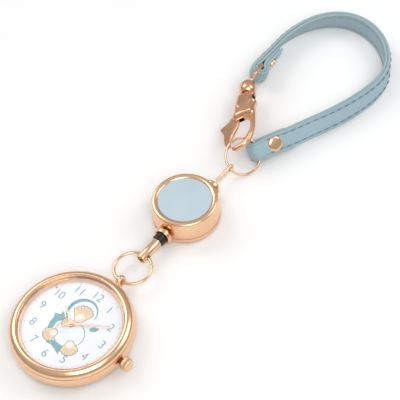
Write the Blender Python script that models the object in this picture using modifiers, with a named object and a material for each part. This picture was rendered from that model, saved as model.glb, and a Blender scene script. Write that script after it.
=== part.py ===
"""A fob watch on a retracting reel, with a leather wrist strap and a lobster clasp.

Sizes are in millimetres in the constants and the helpers turn them into metres. The watch lies face up
with the middle of its case back at the origin, and the chain runs along +X to the reel and the strap.
"""

import math

import bmesh
import bpy
from mathutils import Matrix, Vector

MM = 0.001
GAP = 0.1  # clearance between two pieces that touch on the real object

# Driving sizes.
CASE_R = 20.0
CASE_TOP_Z = 6.5
CRYSTAL_R = 17.2
DIAL_R = 16.9
DIAL_TOP_Z = 6.25
CROWN_Z = 4.0
MOVEMENT_R = 10.0
CHAIN_Y = -0.6
CHAIN_Z = 3.7
LOWER_RING = (29.0, CHAIN_Y, CHAIN_Z)
LOWER_RING_R = 6.25
LOWER_WIRE_R = 0.5
FERRULE_END_X = 41.9
FERRULE_R = 1.8
REEL_X = 58.0
REEL_R = 11.8
SWIVEL_Y = -1.4
BAIL_TIP_X = 82.6
UPPER_RING = (86.97, -2.5, 4.82)
UPPER_RING_R = 6.37
UPPER_WIRE_R = 0.42
UPPER_RING_TURN = -110.2  # direction that the ring's face looks in, degrees about Z
UPPER_RING_TILT = 48.0  # how far that face looks up, degrees
STRAP_W = 7.4
PLY_T = 0.9
PLY_GAP = 0.2
STRAP_T = 2 * PLY_T + PLY_GAP
STRAP_END_W = 6.4  # the strap narrows towards its folded ends
CLASP_HOOK = (84.5, -1.6, 8.7)
CLASP_BARREL = (113.5, 14.7, 6.9)
CLASP_ROLL = -30.0  # how far the clasp is turned about its own length, degrees
HOOK_T = 1.8
LEVER_T = 1.1
LEVER_PIVOT = (21.6, 1.7)

ROSE_GOLD = (0.80, 0.47, 0.30)
STEEL = (0.62, 0.60, 0.56)
BRASS = (0.75, 0.58, 0.27)
LEATHER_BLUE = (0.36, 0.47, 0.52)

CHAIN_X_AXIS = Matrix.Rotation(math.radians(90), 4, "Y")
ALONG_MINUS_Y = Matrix.Rotation(math.radians(90), 4, "X")


def clear_scene():
    for obj in list(bpy.data.objects):
        bpy.data.objects.remove(obj, do_unlink=True)


def new_collection(name, hidden=False):
    group = bpy.data.collections.new(name)
    group.hide_render = hidden
    bpy.context.scene.collection.children.link(group)
    return group


def material(name, colour, roughness, metallic):
    made = bpy.data.materials.new(name)
    made.use_nodes = True
    shader = made.node_tree.nodes["Principled BSDF"]
    shader.inputs["Base Color"].default_value = (*colour, 1.0)
    shader.inputs["Roughness"].default_value = roughness
    shader.inputs["Metallic"].default_value = metallic
    return made


def finish(obj, look, matrix=None, parent=None, smooth=True):
    """Puts an object in the parts collection with its own material, place and shading."""
    for group in list(obj.users_collection):
        group.objects.unlink(obj)
    PARTS.objects.link(obj)
    colour, roughness, metallic = look
    obj.data.materials.clear()
    obj.data.materials.append(material(obj.name, colour, roughness, metallic))
    if matrix is not None:
        obj.matrix_world = matrix
    if parent is not None:
        obj.parent = parent
    if smooth and obj.type == "MESH":
        obj.data.shade_smooth()
        obj.data.set_sharp_from_angle(angle=math.radians(35))
    return obj


def at(x, y, z, turn=None):
    """A placing matrix: millimetres, with an optional rotation matrix."""
    place = Matrix.Translation(Vector((x, y, z)) * MM)
    return place if turn is None else place @ turn


def frame_from(origin, forward, up):
    """A placing matrix whose X is forward and whose Z is near up."""
    x_axis = Vector(forward).normalized()
    y_axis = Vector(up).cross(x_axis).normalized()
    z_axis = x_axis.cross(y_axis)
    turn = Matrix((x_axis, y_axis, z_axis)).transposed().to_4x4()
    return Matrix.Translation(Vector(origin) * MM) @ turn


def mesh_object(name, build):
    mesh = bpy.data.meshes.new(name)
    bm = bmesh.new()
    build(bm)
    bm.to_mesh(mesh)
    bm.free()
    return bpy.data.objects.new(name, mesh)


def turned(name, profile, closed, look, matrix=None, steps=48, parent=None):
    """A turned piece. The profile is (radius, height) pairs that run down its outer side."""

    def outline(bm):
        points = [bm.verts.new((r * MM, 0, z * MM)) for r, z in profile]
        for first, second in zip(points, points[1:]):
            bm.edges.new((first, second))
        if closed:
            bm.edges.new((points[-1], points[0]))

    obj = mesh_object(name, outline)
    screw = obj.modifiers.new("Turn", "SCREW")
    screw.steps = screw.render_steps = steps
    screw.use_merge_vertices = True
    screw.merge_threshold = 0.000005
    screw.use_smooth_shade = True
    return finish(obj, look, matrix, parent, smooth=False)


def rod(name, radius, low, high, look, matrix=None, steps=24, parent=None, bore=0.0):
    """A plain cylinder along its own Z, bored through if it has a bore radius."""
    if bore:
        profile = [(bore, high), (radius, high), (radius, low), (bore, low)]
        return turned(name, profile, True, look, matrix, steps, parent)
    profile = [(0, high), (radius, high), (radius, low), (0, low)]
    return turned(name, profile, False, look, matrix, steps, parent)


def box(name, size, look, matrix=None, parent=None):
    def cube(bm):
        bmesh.ops.create_cube(bm, size=1.0)
        bmesh.ops.scale(bm, vec=Vector(size) * MM, verts=bm.verts)

    return finish(mesh_object(name, cube), look, matrix, parent, smooth=False)


def arc(centre, radius, start, end, count):
    """Points on a circular arc in a plane, degrees from start to end."""
    step = (end - start) / count
    angles = [math.radians(start + step * i) for i in range(count + 1)]
    return [(centre[0] + radius * math.cos(a), centre[1] + radius * math.sin(a)) for a in angles]


def curve_mesh(name, curve):
    """The evaluated curve as a welded mesh object."""
    guide = bpy.data.objects.new(name + "_guide", curve)
    PARTS.objects.link(guide)
    graph = bpy.context.evaluated_depsgraph_get()
    mesh = bpy.data.meshes.new_from_object(guide.evaluated_get(graph))
    bpy.data.objects.remove(guide)
    mesh.name = name
    bm = bmesh.new()
    bm.from_mesh(mesh)
    bmesh.ops.remove_doubles(bm, verts=bm.verts, dist=0.000002)
    bmesh.ops.recalc_face_normals(bm, faces=bm.faces)
    bm.to_mesh(mesh)
    bm.free()
    return bpy.data.objects.new(name, mesh)


def plate(name, outlines, thickness, look, matrix=None, parent=None, bevel=0.0):
    """A flat piece: its first outline is the edge, and the others are holes."""
    curve = bpy.data.curves.new(name, "CURVE")
    curve.dimensions = "2D"
    curve.fill_mode = "BOTH"
    curve.extrude = thickness / 2 * MM
    for points in outlines:
        spline = curve.splines.new("POLY")
        spline.points.add(len(points) - 1)
        for point, (x, y) in zip(spline.points, points):
            point.co = (x * MM, y * MM, 0, 1)
        spline.use_cyclic_u = True
    obj = curve_mesh(name, curve)
    if bevel:
        edge = obj.modifiers.new("Edge", "BEVEL")
        edge.width = bevel * MM
        edge.segments = 2
        edge.limit_method = "ANGLE"
        edge.angle_limit = math.radians(50)
    return finish(obj, look, matrix, parent)


def wire(name, points, radius, look, closed=False, sides=2, matrix=None, parent=None):
    """A round wire through the points."""
    curve = bpy.data.curves.new(name, "CURVE")
    curve.dimensions = "3D"
    curve.bevel_depth = radius * MM
    curve.bevel_resolution = sides
    curve.use_fill_caps = True
    spline = curve.splines.new("POLY")
    spline.points.add(len(points) - 1)
    for point, place in zip(spline.points, points):
        point.co = (*(Vector(place) * MM), 1)
    spline.use_cyclic_u = closed
    return finish(curve_mesh(name, curve), look, matrix, parent)


def boolean(obj, tool, operation):
    change = obj.modifiers.new(tool.name, "BOOLEAN")
    change.operation = operation
    change.object = tool
    PARTS.objects.unlink(tool)
    TOOLS.objects.link(tool)
    tool.hide_render = True
    tool.display_type = "WIRE"


def cut(obj, *tools):
    for tool in tools:
        boolean(obj, tool, "DIFFERENCE")


def join(obj, *tools):
    for tool in tools:
        boolean(obj, tool, "UNION")


# ---------------------------------------------------------------- watch case


def build_case():
    gold = (ROSE_GOLD, 0.22, 1.0)
    crown_hole = rod("crown_hole", 1.15, 8.0, 22.0, gold, at(0, 0, CROWN_Z, ALONG_MINUS_Y))
    top = CASE_TOP_Z
    profile = [(17.0, top), (20.0, top), (20.2, 5.4), (20.3, 4.3), (20.2, 3.0), (19.7, 1.5)]
    profile += [(19.1, 0.75), (18.62, 0.75), (18.62, 1.5), (17.0, 1.5)]
    case = turned("mid_case", profile, True, gold, steps=48)
    cut(case, crown_hole)
    profile = [(17.5, 8.4), (17.8, 8.7), (18.5, 8.6), (19.3, 8.15), (19.8, 7.4), (20.0, top + GAP)]
    profile += [(17.1, top + GAP), (17.1, 7.5), (17.5, 7.5)]
    turned("bezel", profile, True, gold, steps=48)
    profile = [(0, 1.0), (16.2, 1.0), (16.2, 1.9), (16.8, 1.9), (16.8, 1.0), (18.5, 1.0), (18.5, 0.4)]
    profile += [(18.1, 0), (0, 0)]
    turned("case_back", profile, False, (STEEL, 0.35, 1.0), steps=40)
    rubber = ((0.03, 0.03, 0.03), 0.8, 0.0)
    rod("case_back_gasket", 18.3, 1.08, 1.42, rubber, bore=17.15, steps=40)
    rod("crystal_gasket", 17.45, 7.6, 8.3, ((0.7, 0.7, 0.68), 0.6, 0.0), bore=17.27, steps=40)
    profile = [(0, 8.45), (16.9, 8.45), (CRYSTAL_R, 8.2), (CRYSTAL_R, 7.6), (0, 7.6)]
    turned("crystal", profile, False, ((0.85, 0.9, 0.92), 0.02, 0.0), steps=40)
    profile = [(16.6, 7.5), (DIAL_R, 7.5), (DIAL_R, 6.32), (16.1, 6.32)]
    turned("dial_ring", profile, True, gold, steps=40)
    rod("dial", DIAL_R, 5.9, DIAL_TOP_Z, ((0.85, 0.86, 0.9), 0.35, 0.1), bore=0.95, steps=40)
    eye_x = LOWER_RING[0] - LOWER_RING_R
    turn = Matrix.Rotation(math.radians(-90), 4, "X")
    eye = rod("pendant_eye", 2.15, -0.9, 0.9, gold, at(eye_x, CHAIN_Y, CHAIN_Z, turn), bore=1.05)
    join(eye, box("eye_foot", (0.9, 1.8, 3.2), gold, at(20.82, CHAIN_Y, CHAIN_Z)))


def build_crown():
    gold = (ROSE_GOLD, 0.25, 1.0)
    place = at(0, 0, CROWN_Z, ALONG_MINUS_Y)
    rod("crown_tube", 1.05, 17.3, 20.9, gold, place, bore=0.6)
    rod("stem", 0.42, 6.2, 21.9, (STEEL, 0.3, 1.0), place, steps=16)
    profile = [(0, 24.1), (1.5, 24.1), (2.05, 23.7), (2.15, 23.3), (2.15, 21.6), (1.95, 21.3)]
    profile += [(1.3, 21.3), (1.3, 22.4), (0.55, 22.4), (0.55, 21.0), (0.48, 21.0), (0.48, 22.1), (0, 22.1)]
    crown = turned("crown", profile, False, gold, place, steps=24)
    groove = 0.16
    for i in range(12):
        turn = Matrix.Rotation(math.radians(30 * i), 4, "Z")
        tooth = box(f"crown_groove_{i}", (groove * 2, groove * 2, 1.5), gold)
        tooth.matrix_world = place @ turn @ at(2.2, 0, 22.45)
        cut(crown, tooth)


# ---------------------------------------------------------------- movement


def build_movement():
    plastic = ((0.75, 0.75, 0.72), 0.5, 0.0)
    channel = rod("stem_channel", 0.75, 9.0, 18.0, plastic, at(0, 0, CROWN_Z, ALONG_MINUS_Y))
    holder = rod("movement_holder", DIAL_R - 0.1, 2.0, 5.8, plastic, bore=MOVEMENT_R + GAP, steps=40)
    cut(holder, channel)
    plate_holes = [arc((0, 0), 0.6, 0, 330, 11)]
    disc = arc((0, 0), MOVEMENT_R, 0, 350, 35)
    plate("main_plate", [disc, *plate_holes], 0.5, (BRASS, 0.4, 1.0), at(0, 0, 4.75))
    bridge = [(-3.4, -3.0), (1.5, -3.0), (1.8, 0.5), (5.3, 0.9), (6.5, 5.2), (-3.4, 5.2)]
    plate("train_bridge", [bridge], 0.25, (BRASS, 0.4, 1.0), at(0, 0, 2.28), bevel=0.05)
    profile = [(0, 4.2), (2.6, 4.2), (2.6, 4.0), (3.4, 3.8), (3.4, 2.2), (3.2, 2.1), (0, 2.1)]
    turned("battery", profile, False, (STEEL, 0.3, 1.0), at(5.6, -2.9, 0), steps=32)
    along_x = Matrix.Rotation(math.radians(90), 4, "Y")
    profile = [(0, 4.4), (1.1, 4.4), (1.1, 4.0), (0.8, 4.0)]
    profile += [(0.8, -4.0), (1.1, -4.0), (1.1, -4.4), (0, -4.4)]
    turned("coil", profile, False, ((0.55, 0.2, 0.08), 0.4, 0.8), at(0.4, 7.2, 3.2, along_x), steps=16)
    outline = [(-3.0, 3.3), (5.2, 3.3), (5.2, 5.6), (-3.0, 5.6)]
    plate("stator", [outline, arc((3.6, 4.37), 1.0, 0, 330, 11)], 0.4, (STEEL, 0.5, 1.0), at(0, 0, 2.85))
    box("circuit_board", (5.0, 7.0, 0.25), ((0.05, 0.25, 0.12), 0.5, 0.0), at(-6.1, 0, 2.28))
    turn = Matrix.Rotation(math.radians(90), 4, "X")
    rod("quartz_crystal", 0.7, -2.6, 2.6, (STEEL, 0.3, 1.0), at(-7.3, 0, 3.2, turn), steps=16)


def wheel(name, x, y, pieces, look=(BRASS, 0.35, 1.0), bore=0.0):
    """A wheel on its arbor, turned as one piece: (radius, low, high) steps from the top down."""
    profile = [(bore, pieces[0][2])]
    for radius, low, high in pieces:
        profile += [(radius, high), (radius, low)]
    profile.append((bore, pieces[-1][1]))
    return turned(name, profile, bool(bore), look, at(x, y, 0), steps=20)


def build_train():
    """The going train. Its teeth are finer than 0.1 mm, so each wheel is a plain disc."""
    arbor = 0.15
    seconds = [(0.2, 3.45, 7.55), (1.9, 3.3, 3.45), (0.45, 2.6, 3.3)]
    wheel("seconds_wheel", 0, 0, seconds)
    third = [(arbor, 4.1, 4.4), (0.6, 3.85, 4.1), (arbor, 3.05, 3.85), (2.55, 2.9, 3.05), (arbor, 2.5, 2.9)]
    wheel("third_wheel", -3.1, 0, third)
    wheel("centre_wheel", 0, 0, [(0.45, 4.05, 7.2), (2.35, 3.9, 4.05)], bore=0.27)
    fifth = [(arbor, 3.75, 4.4), (1.8, 3.6, 3.75), (0.5, 3.25, 3.6), (arbor, 2.5, 3.25)]
    wheel("fifth_wheel", 1.8, 1.8, fifth)
    rotor = [(arbor, 3.8, 4.4), (0.4, 3.55, 3.8), (arbor, 3.2, 3.55), (0.8, 2.6, 3.2), (arbor, 2.5, 2.6)]
    wheel("rotor", 3.6, 4.37, rotor, (STEEL, 0.4, 1.0))
    wheel("minute_wheel", 2.2, 0, [(0.6, 5.3, 5.5), (1.5, 5.1, 5.3), (arbor, 5.02, 5.1)])
    wheel("hour_wheel", 0, 0, [(0.75, 5.55, 6.85), (1.5, 5.35, 5.55)], bore=0.52)


def hand_outline(tip, tail, half_width, hub):
    """A baton hand that points along +X: a hub ring with a bar that tapers to its tip."""
    side = math.degrees(math.asin(half_width / hub))
    points = [(tip, half_width * 0.35), *arc((0, 0), hub, side, 180 - side, 6)]
    points += [(-tail, half_width), (-tail, -half_width)] if tail > hub else []
    points += [*arc((0, 0), hub, 180 + side, 360 - side, 6), (tip, -half_width * 0.35)]
    return points


def build_hands():
    """The hour hand is near ten, the minute hand near two and the second hand past seven."""
    shapes = [
        ("hour_hand", 7.6, 0, 0.42, 1.15, 0.8, 6.65, 304),
        ("minute_hand", 12.6, 0, 0.36, 1.0, 0.5, 7.05, 60),
        ("second_hand", 13.2, 4.0, 0.14, 0.6, 0.25, 7.4, 216),
    ]
    for name, tip, tail, half_width, hub, hole, z, clock_angle in shapes:
        outline = hand_outline(tip, tail, half_width, hub)
        turn = Matrix.Rotation(math.radians(-clock_angle), 4, "Z")
        bore = arc((0, 0), hole, 0, 330, 11)
        plate(name, [outline, bore], 0.12, (ROSE_GOLD, 0.3, 1.0), at(0, 0, z, turn))


# ---------------------------------------------------------------- ring, ferrule and reel


def ring_points(centre, radius, face_turn, face_tilt, start, end, count):
    """Points on a wire ring whose face looks along a direction given in degrees."""
    turn = Matrix.Rotation(math.radians(face_turn), 3, "Z")
    tilt = Matrix.Rotation(math.radians(90 - face_tilt), 3, "Y")
    points = []
    for x, y in arc((0, 0), radius, start, end, count):
        points.append(Vector(centre) + turn @ tilt @ Vector((x, y, 0)))
    return points


def build_rings():
    gold = (ROSE_GOLD, 0.2, 1.0)
    points = ring_points(LOWER_RING, LOWER_RING_R, 0, 90, -42, 313, 32)
    wire("lower_ring", points, LOWER_WIRE_R, gold)
    points = ring_points(UPPER_RING, UPPER_RING_R, UPPER_RING_TURN, UPPER_RING_TILT, 200, 555, 32)
    wire("upper_ring", points, UPPER_WIRE_R, gold)


def build_tether():
    gold = (ROSE_GOLD, 0.22, 1.0)
    place = at(0, CHAIN_Y, CHAIN_Z, CHAIN_X_AXIS)
    profile = [(0.5, 41.9), (1.65, 41.9), (FERRULE_R, 41.7), (FERRULE_R, 33.4), (1.7, 33.2)]
    profile += [(1.35, 33.2), (1.35, 41.1), (0.5, 41.1)]
    ferrule = turned("ferrule", profile, True, gold, place, steps=32)
    turn = Matrix.Rotation(math.radians(90), 4, "X")
    hole_x = LOWER_RING[0] + LOWER_RING_R - 0.1
    cut(ferrule, rod("ring_hole", 0.92, -3, 3, gold, at(hole_x, CHAIN_Y, CHAIN_Z, turn)))
    cord = ((0.04, 0.04, 0.045), 0.7, 0.0)
    profile = [(0, 40.9), (0.7, 40.75), (1.1, 40.2), (1.1, 39.6), (0.7, 39.05), (0, 38.9)]
    turned("cord_knot", profile, False, cord, place, steps=16)
    profile = [(0.5, 45.0), (2.05, 45.0), (2.2, 44.85), (2.2, 42.15), (2.05, 42.0), (0.5, 42.0)]
    turned("bumper", profile, True, ((0.015, 0.017, 0.02), 0.6, 0.0), place, steps=32)
    rod("cord_lead", 0.35, 41.0, 49.6, cord, place, steps=12)


def build_reel():
    gold = (ROSE_GOLD, 0.22, 1.0)
    place = at(REEL_X, 0, 0)
    hole = rod("collar_hole", 1.6, REEL_X - 50.5, REEL_X - 42, gold)
    hole.matrix_world = at(REEL_X, CHAIN_Y, CHAIN_Z, Matrix.Rotation(math.radians(-90), 4, "Y"))
    hole_2 = rod("collar_hole_2", 1.6, REEL_X - 50.5, REEL_X - 42, gold)
    hole_2.matrix_world = hole.matrix_world
    rear = rod("swivel_hole", 1.6, 8, 14, gold, at(REEL_X, SWIVEL_Y, CHAIN_Z, CHAIN_X_AXIS))
    rear_2 = rod("swivel_hole_2", 1.6, 8, 14, gold, at(REEL_X, SWIVEL_Y, CHAIN_Z, CHAIN_X_AXIS))
    profile = [(0, 0.7), (10.2, 0.7), (10.2, 3.6), (10.8, 3.6), (10.8, 2.4), (REEL_R, 2.4), (REEL_R, 1.0)]
    profile += [(11.4, 0.3), (10.9, 0), (0, 0)]
    cut(turned("reel_back", profile, False, gold, place, steps=40), hole, rear)
    profile = [(0, 8.8), (9.7, 8.8), (9.7, 9.2), (10.2, 9.55), (10.8, 9.5), (11.2, 9.1), (11.4, 8.0)]
    profile += [(11.7, 5.0), (REEL_R, 2.5), (10.9, 2.5), (10.9, 5.0), (10.5, 8.3), (0, 8.3)]
    cut(turned("reel_cover", profile, False, gold, place, steps=40), hole_2, rear_2)
    profile = [(0, 9.42), (9.4, 9.42), (9.6, 9.3), (9.6, 8.86), (0, 8.86)]
    turned("reel_inlay", profile, False, ((0.45, 0.55, 0.6), 0.5, 0.0), place, steps=40)
    rod("reel_post", 1.2, 0.78, 8.2, (STEEL, 0.3, 1.0), place, steps=16)
    profile = [(8.6, 8.0), (8.6, 5.5), (9.6, 5.5), (9.6, 5.2), (3.4, 5.2), (3.4, 2.2), (9.6, 2.2), (9.6, 1.9)]
    profile += [(1.3, 1.9), (1.3, 5.6), (8.0, 5.6), (8.0, 8.0)]
    turned("spool", profile, True, ((0.08, 0.08, 0.09), 0.5, 0.0), place, steps=32)
    profile = [(7.6, 5.0), (8.0, 4.6), (8.0, 2.8), (7.6, 2.4), (3.6, 2.4), (3.6, 5.0)]
    turned("wound_cord", profile, True, ((0.04, 0.04, 0.045), 0.8, 0.0), place, steps=32)
    build_mainspring(place)
    profile = [(0.55, 47.9), (1.45, 47.9), (1.45, 45.9), (3.0, 45.9), (3.2, 45.7), (3.2, 44.5), (3.05, 44.3)]
    profile += [(2.45, 44.3), (2.45, 45.15), (0.55, 45.15)]
    turned("cord_collar", profile, True, gold, at(0, CHAIN_Y, CHAIN_Z, CHAIN_X_AXIS), steps=32)
    profile = [(0.75, 71.5), (2.6, 71.5), (3.0, 71.2), (3.0, 70.3), (1.45, 70.3), (1.45, 68.6), (0.75, 68.6)]
    turned("swivel_boss", profile, True, gold, at(0, SWIVEL_Y, CHAIN_Z, CHAIN_X_AXIS), steps=32)
    build_bail()


def build_mainspring(place):
    """A flat steel ribbon wound from the post to the barrel wall."""
    turns = 5
    steps_a_turn = 16
    inner = 1.8
    outer = 7.7

    def ribbon(bm):
        previous = None
        for i in range(turns * steps_a_turn + 1):
            angle = 2 * math.pi * i / steps_a_turn
            radius = inner + (outer - inner) * i / (turns * steps_a_turn)
            x, y = radius * math.cos(angle) * MM, radius * math.sin(angle) * MM
            edge = [bm.verts.new((x, y, z * MM)) for z in (5.8, 7.8)]
            if previous:
                bm.faces.new((previous[0], edge[0], edge[1], previous[1]))
            previous = edge

    spring = mesh_object("mainspring", ribbon)
    shell = spring.modifiers.new("Thickness", "SOLIDIFY")
    shell.thickness = 0.12 * MM
    shell.offset = 0
    finish(spring, (STEEL, 0.3, 1.0), place, smooth=False)


def build_bail():
    """The swivel: a headed shank in the boss, with a long wire eye for the upper ring."""
    gold = (ROSE_GOLD, 0.22, 1.0)
    place = at(0, SWIVEL_Y, CHAIN_Z, CHAIN_X_AXIS)
    wire_r = 0.35
    eye_r = 1.05
    far = BAIL_TIP_X - wire_r - eye_r
    near = 73.2
    loop = arc((far, 0), eye_r, -90, 90, 8) + arc((near, 0), eye_r, 90, 270, 8)
    points = [(x, SWIVEL_Y, CHAIN_Z + z) for x, z in loop]
    bail = wire("swivel_bail", points, wire_r, gold, closed=True)
    profile = [(0, 72.6), (0.65, 72.6), (0.65, 68.4), (1.3, 68.4), (1.3, 67.9), (0, 67.9)]
    join(bail, turned("bail_shank", profile, False, gold, place, steps=16))


# ---------------------------------------------------------------- strap

# The strap stands on its edge. Each station is x, y and height of its middle, and how far it leans inward.
# The second station from each end holds the rivet.
STRAP_RUN = [
    (91.9, -6.2, 5.9, 40),
    (97.3, -8.35, 5.6, 37),
    (103.6, -11.2, 5.0, 32),
    (112.0, -14.4, 4.3, 28),
    (121.0, -18.4, 4.2, 26),
    (130.0, -21.2, 4.1, 20),
    (139.0, -22.8, 4.0, 12),
    (147.0, -22.2, 3.9, 4),
    (154.0, -18.7, 3.9, -3),
    (160.2, -12.4, 3.9, -5),
    (164.0, -4.5, 3.9, -4),
    (164.3, 4.0, 3.9, 2),
    (160.2, 11.6, 4.0, 10),
    (152.6, 16.8, 4.2, 18),
    (143.5, 19.2, 4.5, 24),
    (136.0, 19.2, 5.0, 24),
    (128.7, 18.5, 5.6, 20),
    (123.1, 18.6, 6.0, 18),
]
FOLD_GAPS = {"chain_end": 2.2, "clasp_end": 2.4}
FOLD_SET_BACK = 0.4
TAIL_STEPS = 4  # how many half stations of the run a folded-back tail covers


def smooth_line(points, per_span):
    """A Catmull-Rom curve through points of any dimension."""
    padded = [points[0] * 2 - points[1], *points, points[-1] * 2 - points[-2]]
    line = []
    for a, b, c, d in zip(padded, padded[1:], padded[2:], padded[3:]):
        for i in range(per_span):
            t = i / per_span
            line.append(0.5 * (b * 2 + (c - a) * t + (a * 2 - b * 5 + c * 4 - d) * t**2
                               + (b * 3 - a - c * 3 + d) * t**3))
    return [*line, points[-1]]


def strap_run():
    """The run's half stations: middle, way up the strap's face, way out of its outer face, and width."""
    line = smooth_line([Vector(station) for station in STRAP_RUN], 2)
    run = []
    for i, (x, y, z, lean) in enumerate(line):
        before = line[max(i - 1, 0)]
        after = line[min(i + 1, len(line) - 1)]
        along = Vector((after.x - before.x, after.y - before.y, 0)).normalized()
        inward = Vector((-along.y, along.x, 0))
        up = (inward * math.tan(math.radians(lean)) + Vector((0, 0, 1))).normalized()
        full = min(1, min(i, len(line) - 1 - i) / 5)
        width = STRAP_END_W + (STRAP_W - STRAP_END_W) * full
        run.append((Vector((x, y, z)), up, along.cross(up), width))
    return run


def fold_centre(run, gap):
    """The middle of the fold before the run's first station, where a ring or a bar goes through."""
    middle, _, out, _ = run[0]
    away = (run[1][0] - middle).normalized()
    return middle - away * FOLD_SET_BACK - out * (gap + STRAP_T) / 2


def fold(run, gap):
    """Stations of the folded-back end: its tail lies along the run's inner side."""
    _, up, out, width = run[0]
    centre = fold_centre(run, gap)
    away = (run[1][0] - run[0][0]).normalized()
    radius = (gap + STRAP_T) / 2
    close = STRAP_T + 0.15
    tail = [(place - side * close, way, width) for place, way, side, _ in reversed(run[1:TAIL_STEPS + 1])]
    bend = [(1.0, radius - 0.2)] + [(-x, y) for x, y in arc((0, 0), radius, 90, -70, 6)]
    return tail + [(centre + away * s - out * q, up, width) for s, q in bend]


def strap_stations():
    """Middle, way up and width of the strap at each station, from tail to tail."""
    run = strap_run()
    chain_end = fold(run, FOLD_GAPS["chain_end"])
    clasp_end = fold(run[::-1], FOLD_GAPS["clasp_end"])
    return [*chain_end, *[(middle, up, width) for middle, up, _, width in run], *reversed(clasp_end)]


def ply(name, offset, look):
    """One leather layer: a ribbon along the strap's middle line, moved outward, then thickened."""
    stations = strap_stations()

    def ribbon(bm):
        previous = None
        for i, (middle, up, width) in enumerate(stations):
            arriving = (middle - stations[max(i - 1, 0)][0]).normalized()
            leaving = (stations[min(i + 1, len(stations) - 1)][0] - middle).normalized()
            along = (arriving + leaving).normalized()
            mitre = max(along.dot(leaving), along.dot(arriving))
            place = middle + along.cross(up).normalized() * offset / mitre
            edge = [bm.verts.new((place + up * width / 2 * way) * MM) for way in (-1, 1)]
            if previous:
                bm.faces.new((previous[0], edge[0], edge[1], previous[1]))
            previous = edge

    obj = mesh_object(name, ribbon)
    shell = obj.modifiers.new("Thickness", "SOLIDIFY")
    shell.thickness = PLY_T * MM
    shell.offset = 0
    shell.use_even_offset = True
    return finish(obj, look, smooth=False)


def rivet_place(station):
    """The frame of a rivet: its Z points out of the strap's outer face."""
    middle, up, out, _ = station
    return frame_from(middle, up.cross(out), out)


def build_strap():
    outer = ply("strap_outer", (PLY_T + PLY_GAP) / 2, (LEATHER_BLUE, 0.6, 0.0))
    lining = ply("strap_lining", -(PLY_T + PLY_GAP) / 2, ((0.38, 0.46, 0.50), 0.7, 0.0))
    gold = (ROSE_GOLD, 0.25, 1.0)
    face = STRAP_T / 2 + 0.22
    back = -STRAP_T * 1.5 - 0.3
    run = strap_run()
    for name, station in (("chain_end", run[2]), ("clasp_end", run[-3])):
        place = rivet_place(station)
        for layer in (outer, lining):
            cut(layer, rod(f"{layer.name}_{name}_hole", 1.0, back - 2, face + 2, gold, place, steps=12))
        profile = [(0, face + 0.9), (1.5, face + 0.75), (2.4, face + 0.4), (2.7, face + 0.1), (2.6, face)]
        profile += [(0.85, face), (0.85, back - 0.5), (0, back - 0.5)]
        turned(f"rivet_cap_{name}", profile, False, gold, place, steps=20)
        profile = [(0.95, back - 0.08), (2.3, back - 0.08), (2.3, back - 0.4), (2.1, back - 0.7)]
        turned(f"rivet_base_{name}", [*profile, (0.95, back - 0.7)], True, gold, place, steps=20)


# ---------------------------------------------------------------- clasp


def build_clasp():
    """The lobster clasp, drawn flat: x runs from the hook to the eye, y to the thumb lever's side."""
    gold = (ROSE_GOLD, 0.22, 1.0)
    roll = Matrix.Rotation(math.radians(CLASP_ROLL), 4, "X")
    place = frame_from(CLASP_HOOK, Vector(CLASP_BARREL) - Vector(CLASP_HOOK), (0, 0, 1)) @ roll
    axis = place @ Matrix.Rotation(math.radians(90), 4, "Y")
    pivot = place @ at(*LEVER_PIVOT, 0)
    build_clasp_body(place, axis, pivot, gold)
    build_lever(place, pivot, gold)
    build_swivel_eye(axis, gold)


def build_clasp_body(place, axis, pivot, gold):
    """The thin hook and the thick body behind it, cut for the lever, its pin and the swivel."""
    near_end = [(28.4, -3.2), (26.0, -3.5), (24.6, -4.0), (23.4, -4.8), (22.2, -4.6), (20.0, -4.7)]
    far_end = [(16.4, 3.4), (20.0, 3.7), (24.3, 3.6), (28.4, 2.8)]
    hook = [(15.8, -5.5), (11.8, -6.0), (9.0, -6.0), (6.0, -5.6), (3.6, -4.6), (2.2, -3.2), (1.5, -1.2)]
    hook += [(1.3, 0.5), (1.6, 1.7), (2.6, 1.8), (2.9, 0.5), (3.2, -0.9), (4.3, -2.4), (6.4, -3.4)]
    hook += [(9.0, -4.2), (11.4, -4.3), (13.6, -3.7), (15.0, -2.6), (15.6, -1.0), (15.4, 0.8), (15.2, 2.4)]
    outline = [(20.0, 2.6), (20.0, -4.0), *hook, (16.4, 2.9)]
    body = plate("clasp_body", [outline], HOOK_T, gold, place, bevel=0.5)
    thick = [*near_end, (17.0, -5.1), (16.4, -3.5), (16.6, -0.4), *far_end]
    join(body, plate("clasp_shoulder", [thick], 4.2, gold, place, bevel=0.9))
    slot = box("lever_slot", (12.0, 6.2, LEVER_T + 0.3), gold, place @ at(18.2, 2.0, 0))
    window = box("swivel_window", (2.6, 12.0, 2.4), gold, place @ at(25.4, 0, 0))
    shank_hole = rod("shank_hole", 0.85, 22, 32, gold, axis, steps=16)
    cut(body, slot, window, shank_hole, rod("pin_hole", 0.62, -4, 4, gold, pivot, steps=12))


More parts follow.
